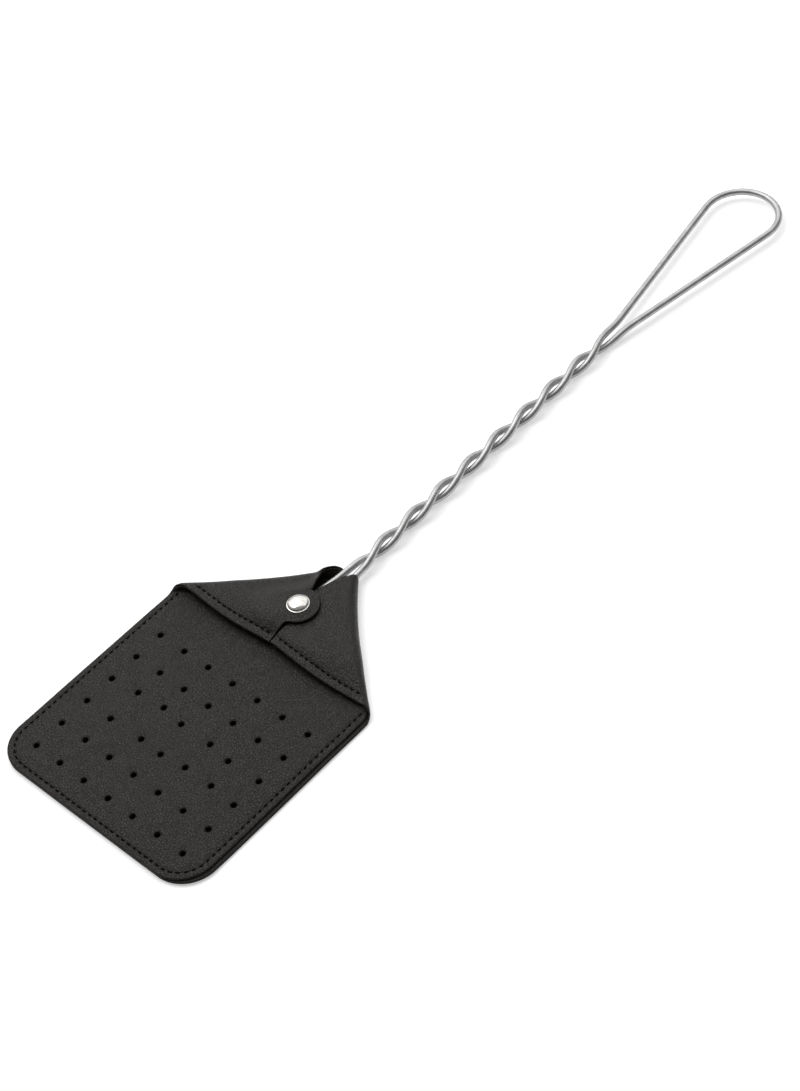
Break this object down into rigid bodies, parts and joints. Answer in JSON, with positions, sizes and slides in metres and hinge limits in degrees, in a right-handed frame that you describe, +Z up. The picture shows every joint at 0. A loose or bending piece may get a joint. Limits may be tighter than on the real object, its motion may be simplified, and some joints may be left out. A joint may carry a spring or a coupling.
{
  "type": "fly swatter",
  "caption": "Fly swatter with a stitched two-ply leather head, snapped corner flaps and a twisted wire handle ending in a hanging loop.",
  "frame": {"origin": "the middle of the swatter as it lies flat, on the surface it lies on", "axes": "+Z up out of the front of the head, +Y along the handle towards the loop, +X to the right when seen from above with the handle pointing away"},
  "size_m": [0.1142, 0.4444, 0.0116],
  "materials": {
    "leather": "fine pebbled grain, satin",
    "thread": "waxed black thread",
    "wire": "drawn wire, light satin",
    "nickel": "polished nickel"
  },
  "bodies": {
    "head_and_handle": {"back_panel": "leather", "front_panel": "leather", "left_fold_outer": "leather", "left_fold_inner": "leather", "right_fold_outer": "leather", "right_fold_inner": "leather", "panel_needle_thread": "thread", "panel_bobbin_thread": "thread", "wire_handle": "wire"},
    "left_flap": {"left_flap_outer": "leather", "left_flap_inner": "leather", "left_flap_needle_thread": "thread", "left_flap_bobbin_thread": "thread", "snap_cap": "nickel", "snap_socket": "nickel"},
    "right_flap": {"right_flap_outer": "leather", "right_flap_inner": "leather", "right_flap_needle_thread": "thread", "right_flap_bobbin_thread": "thread", "snap_stud": "nickel", "snap_post": "nickel"}
  },
  "joints": [
    {"name": "left_flap_fold", "type": "hinge", "parent": "head_and_handle", "child": "left_flap", "pos_m": [-0.05156, -0.1155, 0.00375], "axis": [-0.7419, -0.6705, 0], "range_deg": [0, 150], "deforming": ["left_fold_outer", "left_fold_inner"]},
    {"name": "right_flap_fold", "type": "hinge", "parent": "head_and_handle", "child": "right_flap", "pos_m": [0.05156, -0.1155, 0.00375], "axis": [-0.7419, 0.6705, 0], "range_deg": [0, 60], "deforming": ["right_fold_outer", "right_fold_inner"]}
  ],
  "couplings": [
    {"joint": "right_flap_fold", "follows": "left_flap_fold", "ratio": 0.4}
  ]
}
